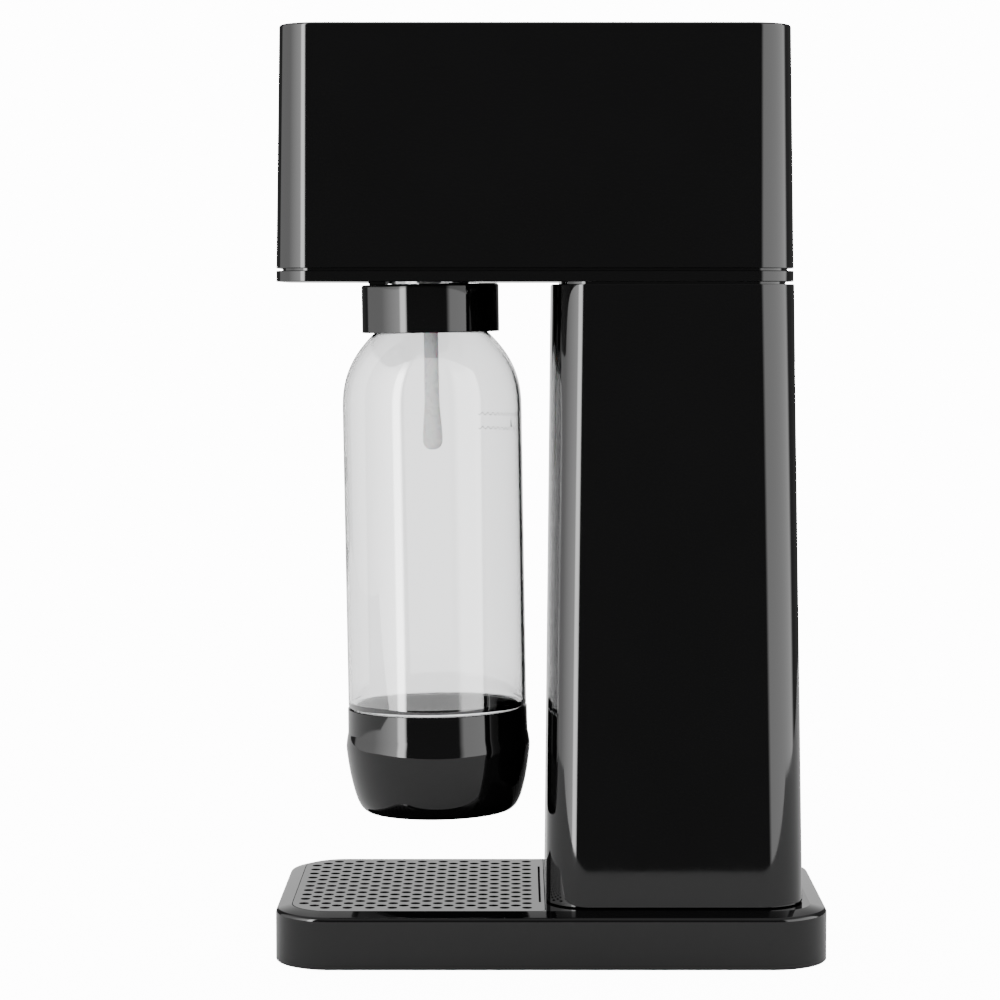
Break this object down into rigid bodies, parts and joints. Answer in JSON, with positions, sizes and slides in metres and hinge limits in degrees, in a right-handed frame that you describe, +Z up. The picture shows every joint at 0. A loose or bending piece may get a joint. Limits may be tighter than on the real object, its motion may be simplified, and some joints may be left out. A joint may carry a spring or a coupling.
{
  "type": "soda carbonator",
  "caption": "Countertop carbonator: base with drip tray, tapered tower, overhanging head, and a clear bottle hung in a tilting holder",
  "frame": {"origin": "centre of the base's footprint, on the surface it stands on", "axes": "+Z up, -Y towards the bottle side (front), X across the width"},
  "size_m": [0.14, 0.247, 0.4168],
  "materials": {
    "gloss_black": "polished black",
    "satin_black": "satin black",
    "rubber": "matte",
    "steel": "satin",
    "brass": "machined",
    "cylinder_paint": "satin",
    "clear_plastic": "clear",
    "tube_plastic": "translucent"
  },
  "bodies": {
    "machine": {"base_shell": "gloss_black", "base_plate": "satin_black", "foot_1": "rubber", "foot_2": "rubber", "foot_3": "rubber", "foot_4": "rubber", "base_screw_1": "steel", "base_screw_2": "steel", "base_screw_3": "steel", "base_screw_4": "steel", "tower_shell": "gloss_black", "rear_panel": "satin_black", "panel_screw_1": "steel", "panel_screw_2": "steel", "panel_screw_3": "steel", "panel_screw_4": "steel", "frame_post_left": "steel", "frame_post_right": "steel", "cylinder_guide": "satin_black", "head_plate": "gloss_black", "head_shell": "gloss_black", "button_guide": "satin_black", "button_spring": "steel", "lever_pin": "steel", "valve_frame": "steel", "valve_block": "brass", "cylinder_seal": "rubber", "gas_hose": "satin_black", "outlet_fitting": "brass", "hinge_fitting": "brass", "relief_body": "brass", "relief_spring": "steel", "relief_cap": "brass", "burst_disc_cap": "brass", "holder_bracket": "steel", "hinge_pin": "steel"},
    "tray": {"drip_tray": "satin_black"},
    "grille": {"drip_grille": "gloss_black"},
    "button": {"push_button": "gloss_black"},
    "lever": {"valve_lever": "steel"},
    "actuator": {"actuator_pin": "steel"},
    "cylinder": {"gas_cylinder": "cylinder_paint", "cylinder_valve": "brass"},
    "relief": {"relief_poppet": "rubber"},
    "holder": {"holder_ring": "gloss_black", "holder_collar": "steel", "neck_seal": "rubber", "nozzle_head": "satin_black", "carbonation_tube": "tube_plastic"},
    "bottle": {"bottle_body": "clear_plastic", "bottle_cup": "gloss_black"}
  },
  "joints": [
    {"name": "tray_lift", "type": "slide", "parent": "machine", "child": "tray", "axis": [0, 0, 1], "range_m": [0, 0.006]},
    {"name": "grille_lift", "type": "slide", "parent": "tray", "child": "grille", "axis": [0, 0, 1], "range_m": [0, 0.005]},
    {"name": "button_press", "type": "slide", "parent": "machine", "child": "button", "axis": [0, 0, -1], "range_m": [0, 0.008], "stiffness_N_per_m": 600, "springref_m": -0.004, "deforming": ["button_spring"]},
    {"name": "lever_turn", "type": "hinge", "parent": "machine", "child": "lever", "pos_m": [0, 0.08805, 0.392], "axis": [1, 0, 0], "range_deg": [0, 3.9]},
    {"name": "actuator_travel", "type": "slide", "parent": "machine", "child": "actuator", "axis": [0, 0, -1], "range_m": [0, 0.0023]},
    {"name": "cylinder_slide", "type": "slide", "parent": "machine", "child": "cylinder", "axis": [0, 0, -1], "range_m": [0, 0.37]},
    {"name": "relief_open", "type": "slide", "parent": "machine", "child": "relief", "axis": [1, 0, 0], "range_m": [0, 0.002], "stiffness_N_per_m": 800, "springref_m": -0.001, "deforming": ["relief_spring"]},
    {"name": "holder_tilt", "type": "hinge", "parent": "machine", "child": "holder", "pos_m": [0, -0.086, 0.314], "axis": [-1, 0, 0], "range_deg": [0, 16]},
    {"name": "bottle_drop", "type": "slide", "parent": "holder", "child": "bottle", "axis": [0, 0.0161, -0.9999], "range_m": [0, 0.012]}
  ],
  "couplings": [
    {"joint": "lever_turn", "follows": "button_press", "rad_per_m": 8.471},
    {"joint": "actuator_travel", "follows": "button_press", "ratio": 0.2795}
  ]
}
